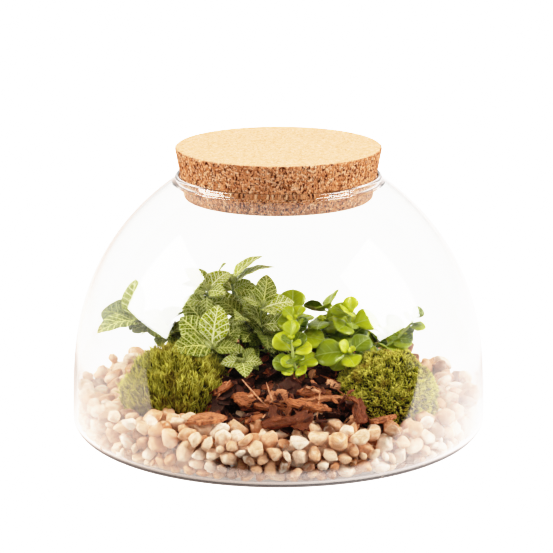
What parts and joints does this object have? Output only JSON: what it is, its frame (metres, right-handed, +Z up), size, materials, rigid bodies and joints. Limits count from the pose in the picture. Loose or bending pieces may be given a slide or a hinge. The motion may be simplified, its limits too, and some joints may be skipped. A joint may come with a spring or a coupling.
{
  "type": "glass plant terrarium",
  "caption": "Closed glass terrarium: a domed jar with a cork stopper, holding pebbles, soil, bark, moss and small leafy plants.",
  "frame": {"origin": "middle of the jar's flat underside", "axes": "+Z up along the jar's turning axis, -Y towards the side that the plants face"},
  "size_m": [0.3, 0.3, 0.2152],
  "materials": {
    "glass": "clear, polished blown glass",
    "cork": "matte agglomerated cork with a fine sanded top and coarse sides",
    "pebble": "satin rounded river pebbles, cream to tan",
    "soil": "matte damp potting soil",
    "bark": "matte reddish-brown bark chips",
    "moss": "matte living moss",
    "fittonia": "satin green leaves with cream net veins",
    "peperomia": "glossy lime-green leaves"
  },
  "bodies": {
    "root": {"glass_vessel": "glass", "cork_stopper": "cork", "pebble_bed": "pebble", "soil_mound": "soil", "bark_mulch": "bark", "moss_mound_left": "moss", "moss_mound_right": "moss", "fittonia_stem_1": "fittonia", "fittonia_stem_2": "fittonia", "fittonia_stem_3": "fittonia", "fittonia_stem_4": "fittonia", "fittonia_stem_5": "fittonia", "fittonia_stem_6": "fittonia", "fittonia_stem_7": "fittonia", "fittonia_stem_8": "fittonia", "fittonia_stem_9": "fittonia", "peperomia_stem_1": "peperomia", "peperomia_stem_2": "peperomia", "peperomia_stem_3": "peperomia", "peperomia_stem_4": "peperomia", "peperomia_stem_5": "peperomia", "peperomia_stem_6": "peperomia", "peperomia_stem_7": "peperomia", "peperomia_stem_8": "peperomia", "peperomia_stem_9": "peperomia"}
  },
  "joints": []
}
